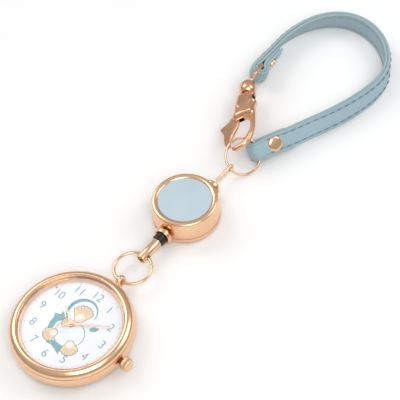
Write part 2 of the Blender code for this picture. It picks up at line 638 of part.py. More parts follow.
def build_lever(place, pivot, gold):
    outline = [(3.5, 2.6), (3.5, 4.1), (4.9, 5.3), (7.5, 6.2), (10.5, 6.8), (12.9, 8.4), (14.2, 8.6)]
    outline += [(15.8, 6.2), (17.3, 5.0), (21.3, 3.1), (22.9, 2.4), (23.1, 1.0), (22.2, 0.4)]
    outline += [(18.0, 0.6), (14.5, 0.9)]
    outline += [(11.5, 1.6), (8.7, 2.7), (6.6, 3.1), (4.9, 3.1)]
    hole = [(x + LEVER_PIVOT[0], y + LEVER_PIVOT[1]) for x, y in arc((0, 0), 0.62, 0, 330, 11)]
    plate("lever", [outline, hole], LEVER_T, gold, place, bevel=0.2)
    head = 2.15
    profile = [(0, head + 0.25), (1.0, head + 0.1), (1.0, head), (0.5, head)]
    profile += [(0.5, -head), (1.0, -head), (1.0, -head - 0.1), (0, -head - 0.25)]
    turned("lever_pin", profile, False, gold, pivot, steps=12)
    spring = [(17.2, -0.7), (18.6, -0.8), (20.4, -0.85), (22.2, -0.8), (23.6, -0.7)]
    wire("lever_spring", [(x, y, 0) for x, y in spring], 0.12, (STEEL, 0.3, 1.0), matrix=place)


def build_swivel_eye(axis, gold):
    """The barrel and the wire loop that holds the strap, with a headed shank that turns in the clasp."""
    profile = [(0, 34.6), (1.8, 34.6), (2.7, 33.9), (3.1, 32.6), (3.1, 30.4), (2.8, 29.6), (2.4, 28.9)]
    profile += [(0.72, 28.9), (0.72, 25.7), (1.05, 25.7), (1.05, 24.9), (0, 24.9)]
    eye = turned("swivel_eye", profile, False, gold, axis, steps=24)
    run = strap_run()[::-1]
    neck = (axis @ Vector((0, 0, 33.4 * MM))) / MM
    forward = fold_centre(run, FOLD_GAPS["clasp_end"]) - neck
    half = STRAP_END_W / 2 + 1.2
    side = [(0.0, 1.0), (0.18, 2.2), (0.36, half - 0.5), (0.45, half), (0.95, half), (1.0, half - 0.5)]
    side = [*side, *[(along, -height) for along, height in reversed(side)]]
    loop = [neck + forward * along + run[0][1] * height for along, height in side]
    join(eye, wire("eye_loop", loop, 0.6, gold, closed=True))


clear_scene()
PARTS = new_collection("fob_watch")
TOOLS = new_collection("cutting_tools", hidden=True)
build_case()
build_crown()
build_movement()
build_train()
build_hands()
build_rings()
build_tether()
build_reel()
build_strap()
build_clasp()
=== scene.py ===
import math

import bmesh
import bpy
from mathutils import Matrix, Vector


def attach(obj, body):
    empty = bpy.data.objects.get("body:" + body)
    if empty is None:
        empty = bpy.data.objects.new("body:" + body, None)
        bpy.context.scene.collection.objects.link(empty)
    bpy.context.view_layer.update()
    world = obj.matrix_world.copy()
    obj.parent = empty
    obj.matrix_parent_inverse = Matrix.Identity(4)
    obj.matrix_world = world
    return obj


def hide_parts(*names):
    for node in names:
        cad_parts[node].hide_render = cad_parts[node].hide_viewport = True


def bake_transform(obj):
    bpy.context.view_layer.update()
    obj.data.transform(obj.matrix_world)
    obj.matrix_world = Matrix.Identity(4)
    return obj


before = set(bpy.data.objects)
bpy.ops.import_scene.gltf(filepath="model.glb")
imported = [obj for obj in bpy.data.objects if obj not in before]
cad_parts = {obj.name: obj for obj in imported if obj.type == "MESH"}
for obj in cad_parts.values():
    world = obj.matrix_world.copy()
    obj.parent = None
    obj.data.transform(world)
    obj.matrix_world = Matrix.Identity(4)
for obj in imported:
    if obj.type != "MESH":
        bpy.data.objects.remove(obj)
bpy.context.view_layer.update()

# ---------------------------------------------------------------- table, light and camera
# A pale table top under large soft boxes, as in a catalogue studio.
# The camera looks down at the watch from its crown side, with a slight roll.

MM = 0.001
CAMERA_PLACE = Vector((-118.2, -173.6, 327.3)) * MM
LOOK_AT = Vector((65.99, 0.55, 0)) * MM
CAMERA_ROLL = math.radians(-6.76)


class Signal:
    """One socket of a finish. Sums and products on it add their Math nodes."""

    def __init__(self, finish, socket):
        self.finish = finish
        self.socket = socket

    def math(self, operation, first, second):
        settings = {"operation": operation}
        return self.finish.add("ShaderNodeMath", settings, {0: first, 1: second})

    def __add__(self, other):
        return self.math("ADD", self, other)

    def __sub__(self, other):
        return self.math("SUBTRACT", self, other)

    def __mul__(self, other):
        return self.math("MULTIPLY", self, other)

    def __abs__(self):
        return self.math("ABSOLUTE", self, 0.0)

    __radd__ = __add__
    __rmul__ = __mul__


class Finish:
    """A material with its nodes. A colour is given as linear red, green and blue."""

    def __init__(self, name):
        self.material = bpy.data.materials.new(name)
        self.material.use_nodes = True
        self.tree = self.material.node_tree
        self.shader = self.tree.nodes["Principled BSDF"]

    def feed(self, socket, value):
        if isinstance(value, Signal):
            self.tree.links.new(value.socket, socket)
        elif isinstance(value, tuple) and socket.type == "RGBA":
            socket.default_value = (*value, 1.0)
        else:
            socket.default_value = value

    def add(self, kind, settings, values, output=0):
        node = self.tree.nodes.new(kind)
        for name, value in settings.items():
            setattr(node, name, value)
        for socket, value in values.items():
            self.feed(node.inputs[socket], value)
        return Signal(self, node.outputs[output])

    def where(self, kind="Object", scale=(1.0, 1.0, 1.0)):
        point = self.add("ShaderNodeTexCoord", {}, {}, kind)
        return self.add("ShaderNodeMapping", {}, {"Vector": point, "Scale": scale})

    def noise(self, scale, detail=2.0):
        values = {"Vector": self.where(), "Scale": scale, "Detail": detail}
        return self.add("ShaderNodeTexNoise", {}, values)

    def mix(self, factor, first, second):
        values = {0: factor, 6: first, 7: second}
        return self.add("ShaderNodeMix", {"data_type": "RGBA"}, values, 2)

    def bump(self, height, strength, depth_mm):
        values = {"Height": height, "Strength": strength, "Distance": depth_mm * MM}
        return self.add("ShaderNodeBump", {}, values)

    def surface(self, values):
        for socket, value in values.items():
            self.feed(self.shader.inputs[socket], value)
        return self.material


def piece_from(name, bm, material, place=None):
    """A new object from a shape, smooth but for its sharp rims."""
    if place is not None:
        bm.transform(place)
    mesh = bpy.data.meshes.new(name)
    bm.to_mesh(mesh)
    bm.free()
    mesh.shade_smooth()
    mesh.set_sharp_from_angle(angle=math.radians(40))
    mesh.materials.append(material)
    piece = bpy.data.objects.new(name, mesh)
    bpy.context.scene.collection.objects.link(piece)
    return piece


TABLE_HALF_WIDTH = 3.0
TABLE_DROP = 0.4 * MM  # how far it lies below the watch's back
table = Finish("table_top")
table_tone = table.mix(table.noise(30.0), (0.86, 0.86, 0.86), (0.88, 0.88, 0.88))
bm = bmesh.new()
bmesh.ops.create_grid(bm, x_segments=2, y_segments=2, size=TABLE_HALF_WIDTH)
bmesh.ops.translate(bm, verts=bm.verts, vec=(0, 0, -TABLE_DROP))
table_paint = table.surface({"Base Color": table_tone, "Roughness": 0.75})
piece_from("table_top", bm, table_paint)

SKY_STOPS = ((0.05, 0.62), (0.75, 1.0))  # position and grey, from the horizon up
SKY_STRENGTH = 0.58
world = bpy.data.worlds.new("studio")
world.use_nodes = True
sky = world.node_tree
height = sky.nodes.new("ShaderNodeSeparateXYZ")
sky.links.new(sky.nodes.new("ShaderNodeTexCoord").outputs["Generated"], height.inputs[0])
ramp = sky.nodes.new("ShaderNodeValToRGB")
for stop, (position, grey) in zip(ramp.color_ramp.elements, SKY_STOPS):
    stop.position = position
    stop.color = (grey, grey, grey, 1.0)
sky.links.new(height.outputs["Z"], ramp.inputs[0])
sky.links.new(ramp.outputs[0], sky.nodes["Background"].inputs["Color"])
sky.nodes["Background"].inputs["Strength"].default_value = SKY_STRENGTH
bpy.context.scene.world = world
bpy.context.scene.view_settings.view_transform = "Standard"

for name, place, size, watts in (
    ("key_box", (-0.25, -0.45, 0.75), 0.55, 3.6),
    ("fill_box", (0.55, -0.35, 0.55), 0.4, 1.5),
    ("back_box", (0.1, 0.6, 0.6), 0.5, 2.0),
):
    lamp = bpy.data.lights.new(name, "AREA")
    lamp.size = size
    lamp.energy = watts
    lamp_object = bpy.data.objects.new(name, lamp)
    lamp_object.location = place
    toward = LOOK_AT - Vector(place)
    lamp_object.rotation_euler = toward.to_track_quat("-Z", "Y").to_euler()
    bpy.context.scene.collection.objects.link(lamp_object)

camera = bpy.data.objects.new("camera", bpy.data.cameras.new("camera"))
camera.data.lens = 108
camera.data.clip_start = 0.01
camera.location = CAMERA_PLACE
roll = Matrix.Rotation(CAMERA_ROLL, 3, "Z").to_quaternion()
aim = (LOOK_AT - CAMERA_PLACE).to_track_quat("-Z", "Y") @ roll
camera.rotation_euler = aim.to_euler()
bpy.context.scene.collection.objects.link(camera)
bpy.context.scene.camera = camera

# ---------------------------------------------------------------- watch case
# A round two-part case of rose gold plated steel: a band with soft shoulders, and a domed
# bezel pressed over it. Both are turned and polished, and the back is a brushed steel disc.


def spun(profile, steps=96):
    """A turned shape about Z from (radius, height) pairs in millimetres.

    The profile is closed unless it starts on the axis.
    """
    bm = bmesh.new()
    points = [bm.verts.new((r * MM, 0, z * MM)) for r, z in profile]
    edges = [bm.edges.new(pair) for pair in zip(points, points[1:])]
    if profile[0][0] > 0:
        edges.append(bm.edges.new((points[-1], points[0])))
    turn = {"cent": (0, 0, 0), "axis": (0, 0, 1), "angle": 2 * math.pi}
    bmesh.ops.spin(bm, geom=[*points, *edges], steps=steps, use_merge=True, **turn)
    bmesh.ops.remove_doubles(bm, verts=bm.verts, dist=1e-7)
    bmesh.ops.recalc_face_normals(bm, faces=bm.faces)
    return bm


def ride(piece, body, stands_for=()):
    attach(piece, body)
    if stands_for:
        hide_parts(*stands_for)
    return piece


def refinish(material, *nodes):
    """The CAD nodes keep their shape and take this material."""
    for node in nodes:
        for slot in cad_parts[node].material_slots:
            slot.material = material


def polished(name, light, dark, low, high, grain=900.0):
    """A polished metal with faint clouding and a fine rub in its gloss."""
    finish = Finish(name)
    cloud = finish.noise(90.0)
    rub = finish.noise(grain, 3.0)
    tone = finish.mix(cloud, light, dark)
    gloss = low + (high - low) * cloud + 0.02 * rub
    return finish.surface({"Base Color": tone, "Metallic": 1.0, "Roughness": gloss})


rose_gold = polished("rose_gold_polish", (0.93, 0.61, 0.39), (0.90, 0.57, 0.35), 0.18, 0.26)
clasp_gold = polished("clasp_gold", (0.88, 0.52, 0.33), (0.80, 0.44, 0.27), 0.16, 0.30)
# A dark brown gold that is painted shade, for the gap between the crown and the case.
painted_shade_gold = polished("painted_shade_gold", (0.20, 0.10, 0.05), (0.13, 0.06, 0.03), 0.35, 0.5)
brushed_steel = polished("brushed_steel", (0.66, 0.64, 0.60), (0.56, 0.54, 0.51), 0.28, 0.45, 2400.0)

band = [(17.0, 6.5), (19.7, 6.5), (19.95, 6.35), (20.15, 5.9), (20.28, 5.1), (20.3, 4.2), (20.2, 3.1)]
band += [(19.95, 2.1), (19.6, 1.35), (19.2, 0.85), (18.9, 0.75), (18.62, 0.75), (18.62, 1.5), (17.0, 1.5)]
ride(piece_from("case_band", spun(band, 128), rose_gold), "watch_case", ("mid_case",))
dome = [(17.1, 7.5), (17.5, 7.5), (17.5, 8.33), (17.22, 8.36), (17.24, 8.5), (17.5, 8.64)]
dome += [(17.8, 8.7), (18.15, 8.66), (18.6, 8.5), (19.05, 8.24), (19.45, 7.88), (19.75, 7.45)]
dome += [(19.93, 7.0), (20.0, 6.6), (17.1, 6.6)]
ride(piece_from("case_bezel", spun(dome, 128), rose_gold), "watch_case", ("bezel",))
refinish(brushed_steel, "case_back")
refinish(rose_gold, "crystal_gasket")
gasket = Finish("case_gasket")
gasket_tone = gasket.mix(gasket.noise(700.0), (0.025, 0.025, 0.025), (0.05, 0.05, 0.05))
refinish(gasket.surface({"Base Color": gasket_tone, "Roughness": 0.8}), "case_back_gasket")

# The pendant eye is a turned gold ring on its edge, brazed to the band by a small foot.
CHAIN_Y = -0.6  # the middle line of the chain, from the pendant to the reel
CHAIN_Z = 3.7
EYE_PLACE = Matrix.Translation(Vector((22.75, CHAIN_Y, CHAIN_Z)) * MM)
EYE_PLACE = EYE_PLACE @ Matrix.Rotation(math.radians(-90), 4, "X")
eye = [(1.05, 0.7), (1.25, 0.9), (1.7, 0.88), (2.05, 0.6), (2.15, 0.15), (2.15, -0.15), (2.05, -0.6)]
eye += [(1.7, -0.88), (1.25, -0.9), (1.05, -0.7)]
bm = spun(eye, 48)
foot = bmesh.ops.create_cube(bm, size=1.0)["verts"]
bmesh.ops.scale(bm, vec=Vector((1.1, 3.2, 1.8)) * MM, verts=foot)
bmesh.ops.translate(bm, vec=Vector((-2.0, 0, 0)) * MM, verts=foot)
foot_edges = list({edge for vert in foot for edge in vert.link_edges})
foot_round = {"affect": "EDGES", "segments": 3, "profile": 0.5, "material": -1}
bmesh.ops.bevel(bm, geom=foot_edges, offset=0.35 * MM, **foot_round)
pendant = piece_from("pendant", bm, rose_gold, EYE_PLACE)
ride(pendant, "watch_case", ("pendant_eye",))

# ---------------------------------------------------------------- crown
# A fluted gold crown with a domed end. It is screwed to a steel stem, which slides out through
# a thin tube in the band to set the hands, and it leaves a shadow gap at the case.

CROWN_Z = 4.0
CROWN_STEPS = 96
FLUTE_STEPS = 4  # steps from one flute to the next
FLUTE_FROM = 2.05  # radius beyond which the flutes are cut
FLUTE_SHARE = 0.94  # a flute's radius as a share of the crown's
CROWN_PLACE = Matrix.Translation((0, 0, CROWN_Z * MM)) @ Matrix.Rotation(math.radians(90), 4, "X")
crown = [(0, 24.1), (0.8, 24.07), (1.4, 23.95), (1.85, 23.65), (2.1, 23.2), (2.15, 22.7), (2.15, 21.8)]
crown += [(1.95, 21.35), (1.3, 21.3), (1.3, 22.4), (0.5, 22.4), (0.5, 21.0), (0, 21.0)]
bm = spun(crown, CROWN_STEPS)
for vert in bm.verts:
    radius = math.hypot(vert.co.x, vert.co.y)
    step = round(math.atan2(vert.co.y, vert.co.x) / (2 * math.pi) * CROWN_STEPS)
    if radius > FLUTE_FROM * MM and step % FLUTE_STEPS == 0:
        vert.co.x *= FLUTE_SHARE
        vert.co.y *= FLUTE_SHARE
winding_crown = piece_from("winding_crown", bm, rose_gold, CROWN_PLACE)
ride(winding_crown, "stem", ("crown",))
# The tube and stem take the dark brown gold as painted shade, so the gap at the case reads dark; the stem
# itself is steel.
refinish(painted_shade_gold, "crown_tube", "stem")

# ---------------------------------------------------------------- movement
# A quartz movement in a white plastic holder: a brass plate and bridge, a button cell, a coil on
# its stator, a green board with the crystal can, and turned brass wheels. It is hidden when closed.

brass = polished("lacquered_brass", (0.80, 0.62, 0.30), (0.70, 0.52, 0.22), 0.25, 0.4)
holder = Finish("holder_plastic")
holder_tone = holder.mix(holder.noise(400.0), (0.74, 0.74, 0.71), (0.80, 0.80, 0.77))
refinish(holder.surface({"Base Color": holder_tone, "Roughness": 0.45}), "movement_holder")
board = Finish("board_lacquer")
tracks = board.add("ShaderNodeTexBrick", {}, {"Vector": board.where(), "Scale": 900.0}, "Fac")
board_tone = board.mix(tracks, (0.03, 0.22, 0.10), (0.10, 0.34, 0.16))
refinish(board.surface({"Base Color": board_tone, "Roughness": 0.4}), "circuit_board")
copper = Finish("coil_wire")
wires = copper.add("ShaderNodeTexWave", {}, {"Vector": copper.where(), "Scale": 2600.0}, "Fac")
copper_tone = copper.mix(wires, (0.60, 0.22, 0.09), (0.35, 0.11, 0.04))
refinish(copper.surface({"Base Color": copper_tone, "Metallic": 0.9, "Roughness": 0.35}), "coil")
refinish(brass, "main_plate", "train_bridge", "seconds_wheel", "third_wheel", "centre_wheel")
refinish(brass, "fifth_wheel", "minute_wheel", "hour_wheel")
refinish(brushed_steel, "battery", "stator", "quartz_crystal", "rotor")

# ---------------------------------------------------------------- dial
# A brass disc lacquered in pearl white, printed with upright numerals, a minute track of dots and
# a sea picture in teal, tan and white. A conical gold ring stands round it under the glass.

DIAL_TOP = 6.25
PRINT_T = 0.012


def add_line(curve, points, closed=True):
    """Straight spans through points in millimetres, each of two or three numbers."""
    spline = curve.splines.new("POLY")
    spline.points.add(len(points) - 1)
    for point, place in zip(spline.points, points):
        x, y, z = (*place, 0)[:3]
        point.co = (x * MM, y * MM, z * MM, 1)
    spline.use_cyclic_u = closed


def shape_of(curve):
    """A curve or text as a welded shape, with its curve removed."""
    guide = bpy.data.objects.new("guide", curve)
    bpy.context.scene.collection.objects.link(guide)
    graph = bpy.context.evaluated_depsgraph_get()
    mesh = bpy.data.meshes.new_from_object(guide.evaluated_get(graph))
    bpy.data.objects.remove(guide)
    bm = bmesh.new()
    bm.from_mesh(mesh)
    bpy.data.meshes.remove(mesh)
    bmesh.ops.remove_doubles(bm, verts=bm.verts, dist=1e-7)
    bmesh.ops.recalc_face_normals(bm, faces=bm.faces)
    return bm


def flat_curve(outlines, extrude):
    """A filled curve from closed outlines, thick by its extrusion both ways."""
    curve = bpy.data.curves.new("outline", "CURVE")
    curve.dimensions = "2D"
    curve.fill_mode = "BOTH"
    curve.extrude = extrude * MM
    for outline in outlines:
        add_line(curve, outline)
    return curve


def printed(name, outlines, level, material):
    """Ink on the dial, from outlines in millimetres. A later level lies on an earlier one."""
    bm = shape_of(flat_curve(outlines, PRINT_T / 2))
    place = Matrix.Translation((0, 0, (DIAL_TOP + PRINT_T * (level + 0.5)) * MM))
    return ride(piece_from(name, bm, material, place), "watch_case")


def together(shapes):
    """Several shapes in one mesh."""
    whole = bmesh.new()
    for shape in shapes:
        mesh = bpy.data.meshes.new("part")
        shape.to_mesh(mesh)
        shape.free()
        whole.from_mesh(mesh)
        bpy.data.meshes.remove(mesh)
    return whole


def round_dial(radius, sixtieths):
    """The middle of a print on the dial, at a clock angle counted in minutes."""
    angle = math.radians(6 * sixtieths)
    height = DIAL_TOP + PRINT_T / 2
    return Vector((radius * math.cos(angle), -radius * math.sin(angle), height)) * MM


def ink(name, light, dark, grain=500.0):
    """A matt print with a little mottle."""
    finish = Finish(name)
    tone = finish.mix(finish.noise(grain, 3.0), light, dark)
    return finish.surface({"Base Color": tone, "Roughness": 0.45})


pearl = Finish("pearl_lacquer")
swirl = pearl.noise(160.0, 3.0)
cool = pearl.mix(swirl, (0.78, 0.84, 0.92), (0.93, 0.90, 0.93))
pearl_skin = pearl.bump(pearl.noise(2000.0), 0.05, 0.01)
pearl_look = {"Base Color": cool, "Roughness": 0.3, "Coat Weight": 0.4, "Normal": pearl_skin}
refinish(pearl.surface(pearl_look), "dial")
rehaut = [(16.62, 7.5), (16.9, 7.5), (16.9, 6.32), (16.05, 6.32), (16.05, 6.4)]
flange = piece_from("dial_flange", spun(rehaut, 128), rose_gold)
ride(flange, "watch_case", ("dial_ring",))

pale_blue_ink = ink("pale_blue_ink", (0.10, 0.29, 0.40), (0.14, 0.34, 0.45))
NUMERAL_RING = 12.7
NUMERAL_SIZE = 4.1
numerals = []
for number in range(1, 13):
    text = bpy.data.curves.new("numeral", "FONT")
    text.body = str(number)
    text.align_x = "CENTER"
    text.align_y = "CENTER"
    text.size = NUMERAL_SIZE * MM
    text.extrude = PRINT_T / 2 * MM
    digits = shape_of(text)
    spot = Matrix.Translation(round_dial(NUMERAL_RING, 5 * number))
    digits.transform(spot @ Matrix.Rotation(math.radians(-90), 4, "Z"))
    numerals.append(digits)
ride(piece_from("dial_numerals", together(numerals), pale_blue_ink), "watch_case")

DOT_RING = 15.45


def minute_dots(name, minutes, radius, material):
    bm = bmesh.new()
    disc = {"segments": 10, "radius1": radius * MM, "radius2": radius * MM, "depth": PRINT_T * MM}
    for minute in minutes:
        spot = Matrix.Translation(round_dial(DOT_RING, minute))
        bmesh.ops.create_cone(bm, cap_ends=True, matrix=spot, **disc)
    return ride(piece_from(name, bm, material), "watch_case")


rose_ink = ink("rose_ink", (0.50, 0.33, 0.36), (0.42, 0.30, 0.36))
minute_dots("dots_minutes", [m for m in range(60) if m % 5], 0.13, rose_ink)
tan_ink = ink("tan_ink", (0.85, 0.50, 0.26), (0.78, 0.42, 0.20))
minute_dots("dots_five", [m for m in range(0, 60, 5) if m != 50], 0.3, tan_ink)
line_ink = ink("line_ink", (0.10, 0.12, 0.15), (0.14, 0.16, 0.20))
minute_dots("dot_ten", [50], 0.34, line_ink)


def ellipse(centre, across, along, start=0, end=360, turn=0.0, count=40):
    """Points round an ellipse, in degrees, turned about its middle."""
    points = []
    for i in range(count + (end - start < 360)):
        a = math.radians(start + (end - start) * i / count)
        x, y = across * math.cos(a), along * math.sin(a)
        c, s = math.cos(math.radians(turn)), math.sin(math.radians(turn))
        points.append((centre[0] + x * c - y * s, centre[1] + x * s + y * c))
    return points


SHELL_SPREAD = 150  # degrees that a shell's lobed edge takes up
LOBES = 7
LOBE_STEPS = 8


def scallop(centre, radius, turn):
    """A fan shell: a lobed edge over a narrow hinge."""
    points = []
    for i in range(LOBES * LOBE_STEPS + 1):
        a = -SHELL_SPREAD / 2 + SHELL_SPREAD * i / (LOBES * LOBE_STEPS)
        bulge = radius * (0.93 + 0.09 * abs(math.sin(math.radians(180 * i / LOBE_STEPS))))
        a = math.radians(a + turn)
        points.append((centre[0] + bulge * math.cos(a), centre[1] + bulge * math.sin(a)))
    c, s = math.cos(math.radians(turn)), math.sin(math.radians(turn))
    for x, y in ((-0.55, 0.38), (-0.75, 0.3), (-0.75, -0.3), (-0.55, -0.38)):
        x, y = x * radius, y * radius
        points.append((centre[0] + x * c - y * s, centre[1] + x * s + y * c))
    return points


def shell_ribs(centre, radius, turn):
    """Thin ribs from near the hinge of a fan shell to the dips in its edge."""
    ribs = []
    for i in range(1, LOBES):
        a = math.radians(-SHELL_SPREAD / 2 + SHELL_SPREAD * i / LOBES + turn)
        outward = Vector((math.cos(a), math.sin(a)))
        side = Vector((-math.sin(a), math.cos(a))) * 0.07
        hinge = Vector(centre) + outward * radius * 0.3
        tip = Vector(centre) + outward * radius * 0.9
        corners = (hinge + side * 0.5, tip + side, tip - side, hinge - side * 0.5)
        ribs.append([tuple(corner) for corner in corners])
    return ribs


teal_ink = ink("teal_ink", (0.08, 0.27, 0.33), (0.13, 0.36, 0.42), 260.0)
sand_ink = ink("sand_ink", (0.86, 0.60, 0.30), (0.90, 0.68, 0.40), 260.0)
cream_ink = ink("cream_ink", (0.90, 0.87, 0.80), (0.86, 0.82, 0.78), 260.0)
white_ink = ink("white_ink", (0.86, 0.90, 0.95), (0.80, 0.86, 0.93), 200.0)
wave = [*ellipse((5.4, 0.3), 5.2, 5.2, -85, 165), *reversed(ellipse((4.9, -0.2), 4.9, 4.5, -84, 150))]
curl = [(1.6, 4.4), (2.4, 5.6), (0.9, 5.4), (0.4, 7.4), (-1.2, 6.6), (-3.2, 6.6), (-5.0, 5.8)]
curl += [(-6.4, 4.8)]
curl += [(-5.4, 3.6), (-3.6, 4.4), (-1.8, 4.6), (-0.6, 3.6), (0.6, 3.2)]
weed = [(-7.6, 0.9), (-8.6, 2.4), (-9.6, 2.6), (-9.2, 0.6), (-10.0, -1.8), (-10.6, -3.6)]
weed += [(-9.2, -3.2), (-8.2, -3.6), (-7.4, -2.2), (-7.0, -0.4)]
leaf = [(2.0, -5.6), (3.4, -6.4), (4.0, -8.4), (2.4, -8.0), (1.4, -6.6)]
PEBBLE = (-3.0, -1.6)
printed("picture_waves", [wave, curl, weed, leaf], 0, teal_ink)
printed("picture_pebble_line", [ellipse(PEBBLE, 4.9, 5.3)], 1, teal_ink)
printed("picture_pebble", [ellipse(PEBBLE, 4.6, 5.0)], 2, white_ink)
SHELL_LINE = 0.28
PALE_SHARE = 0.42  # the pale patch's radius, as a share of the shell's
PALE_BACK = 0.3
for name, centre, radius, turn in (
    ("large", (4.4, -0.4), 3.5, 12),
    ("left", (-6.2, 3.2), 2.6, 150),
    ("right", (-6.6, -4.9), 2.9, 215),
    ("middle", (-0.2, 1.4), 1.9, 100),
):
    outline = scallop(centre, radius + SHELL_LINE, turn)
    printed(f"picture_shell_line_{name}", [outline], 3, line_ink)
    printed(f"picture_shell_{name}", [scallop(centre, radius, turn)], 4, sand_ink)
    foot_spot = (
        centre[0] - radius * PALE_BACK * math.cos(math.radians(turn)),
        centre[1] - radius * PALE_BACK * math.sin(math.radians(turn)),
    )
    patch = ellipse(foot_spot, radius * PALE_SHARE, radius * PALE_SHARE)
    printed(f"picture_shell_pale_{name}", [patch], 5, cream_ink)
    printed(f"picture_shell_ribs_{name}", shell_ribs(centre, radius, turn), 6, line_ink)

# The hands are stamped gold batons pressed on the wheel tubes, and the glass is a flat mineral
# crystal with a chamfered rim, seated in a gold coloured gasket.
refinish(rose_gold, "hour_hand", "minute_hand", "second_hand")
glass = Finish("mineral_glass")
haze = glass.noise(300.0)
film = glass.mix(haze, (0.92, 0.96, 1.0), (0.96, 0.98, 1.0))
clear = glass.surface({"Base Color": film, "Roughness": 0.03, "Alpha": 0.07 + 0.05 * haze})
lens = [(0, 8.45), (16.7, 8.42), (17.1, 8.3), (17.2, 8.1), (17.2, 7.6), (0, 7.6)]
watch_glass = piece_from("watch_glass", spun(lens, 96), clear)
ride(watch_glass, "watch_case", ("crystal",))

# ---------------------------------------------------------------- split rings
# Two rings of drawn gold wire, bent round with a narrow slit. The lower one joins the
# pendant to the ferrule, the upper one holds the swivel, the strap's loop and the clasp.


SLIT = 5  # degrees


def split_ring(centre, radius, wire, look_turn, look_tilt, slit_at):
    """A wire ring with a narrow slit, whose face looks along a direction in degrees."""
    bm = bmesh.new()
    stand = Matrix.Translation((radius * MM, 0, 0)) @ Matrix.Rotation(math.radians(90), 4, "X")
    bmesh.ops.create_circle(bm, cap_ends=True, segments=20, radius=wire * MM, matrix=stand)
    turn = {"cent": (0, 0, 0), "axis": (0, 0, 1), "angle": math.radians(360 - SLIT), "steps": 120}
    bmesh.ops.spin(bm, geom=[*bm.verts, *bm.edges, *bm.faces], **turn)
    bmesh.ops.remove_doubles(bm, verts=bm.verts, dist=1e-7)
    bmesh.ops.recalc_face_normals(bm, faces=bm.faces)
    look = Matrix.Rotation(math.radians(look_turn), 4, "Z")
    look = look @ Matrix.Rotation(math.radians(90 - look_tilt), 4, "Y")
    start = Matrix.Rotation(math.radians(slit_at), 4, "Z")
    bm.transform(Matrix.Translation(Vector(centre) * MM) @ look @ start)
    return bm


bm = split_ring((29.0, CHAIN_Y, CHAIN_Z), 6.25, 0.5, 0, 90, -42)
ride(piece_from("ring_lower", bm, rose_gold), "lower_ring", ("lower_ring",))
bm = split_ring((86.97, -2.5, 4.82), 6.37, 0.42, -110.2, 48, 200)
ride(piece_from("ring_upper", bm, rose_gold), "upper_ring", ("upper_ring",))

# ---------------------------------------------------------------- ferrule, bumper and cord
# A turned gold ferrule with an open end and a cross hole for the ring. A knotted black polyester
# cord holds it, and a rubber bumper on the cord stops it at the reel.

ALONG_X = Matrix.Rotation(math.radians(90), 4, "Y")
CHAIN = Matrix.Translation(Vector((0, CHAIN_Y, CHAIN_Z)) * MM) @ ALONG_X


def held(bm):
    """A throwaway object for a cut."""
    mesh = bpy.data.meshes.new("held")
    bm.to_mesh(mesh)
    bm.free()
    work = bpy.data.objects.new("held", mesh)
    bpy.context.scene.collection.objects.link(work)
    return work


def bored(bm, *tools):
    """The shape with each tool's room taken out of it."""
    work = held(bm)
    cutters = [held(tool) for tool in tools]
    for cutter in cutters:
        bore = work.modifiers.new("Bore", "BOOLEAN")
        bore.object = cutter
    graph = bpy.context.evaluated_depsgraph_get()
    mesh = bpy.data.meshes.new_from_object(work.evaluated_get(graph))
    for spent in (work, *cutters):
        bpy.data.objects.remove(spent)
    cut = bmesh.new()
    cut.from_mesh(mesh)
    return cut


def drill(radius, length, place):
    bm = bmesh.new()
    size = {"segments": 32, "radius1": radius * MM, "radius2": radius * MM, "depth": length * MM}
    bmesh.ops.create_cone(bm, cap_ends=True, matrix=place, **size)
    return bm


sleeve = [(0.5, 41.9), (1.55, 41.9), (1.72, 41.85), (1.8, 41.7), (1.8, 33.4), (1.74, 33.25), (1.62, 33.2)]
sleeve += [(1.35, 33.2), (1.35, 41.1), (0.5, 41.1)]
hole_place = Matrix.Translation(Vector((35.15, CHAIN_Y, CHAIN_Z)) * MM)
ring_hole = drill(0.92, 6.0, hole_place @ Matrix.Rotation(math.radians(90), 4, "X"))
sleeve_shape = spun(sleeve, 64)
sleeve_shape.transform(CHAIN)
ferrule_sleeve = piece_from("ferrule_sleeve", bored(sleeve_shape, ring_hole), rose_gold)
ride(ferrule_sleeve, "ferrule", ("ferrule",))

rubber = Finish("bumper_rubber")
rubber_grain = rubber.noise(3000.0, 3.0)
rubber_tone = rubber.mix(rubber.noise(300.0), (0.004, 0.004, 0.005), (0.009, 0.009, 0.011))
rubber_skin = rubber.bump(rubber_grain, 0.2, 0.03)
rubber_gloss = 0.32 + 0.15 * rubber_grain
rubber_look = {"Base Color": rubber_tone, "Roughness": rubber_gloss, "Normal": rubber_skin}
black_rubber = rubber.surface(rubber_look)
stopper = [(0.5, 45.0), (1.9, 45.0), (2.12, 44.9), (2.2, 44.6), (2.2, 43.7), (2.12, 43.6)]
stopper += [(2.12, 43.4), (2.2, 43.3), (2.2, 42.4), (2.12, 42.1), (1.9, 42.0), (0.5, 42.0)]
cord_bumper = piece_from("cord_bumper", spun(stopper, 64), black_rubber, CHAIN)
ride(cord_bumper, "cord_end", ("bumper",))

braid = Finish("cord_braid")
plaits = []
for lean in (1.0, -1.0):
    strands = {"Vector": braid.where("UV", (1.0, lean, 1.0)), "Scale": 3.0}
    slant = {"bands_direction": "DIAGONAL"}
    plaits.append(braid.add("ShaderNodeTexWave", slant, strands, "Fac"))
plait = plaits[0] * plaits[1]
braid_tone = braid.mix(plait, (0.012, 0.012, 0.014), (0.06, 0.06, 0.065))
braid_skin = braid.bump(plait, 0.5, 0.06)
black_braid = braid.surface({"Base Color": braid_tone, "Roughness": 0.75, "Normal": braid_skin})


def swept(points, radius, fineness, closed=False):
    """A round cord or wire along points in millimetres."""
    curve = bpy.data.curves.new("run", "CURVE")
    curve.dimensions = "3D"
    curve.bevel_depth = radius * MM
    curve.bevel_resolution = fineness
    curve.use_fill_caps = True
    add_line(curve, points, closed)
    return shape_of(curve)


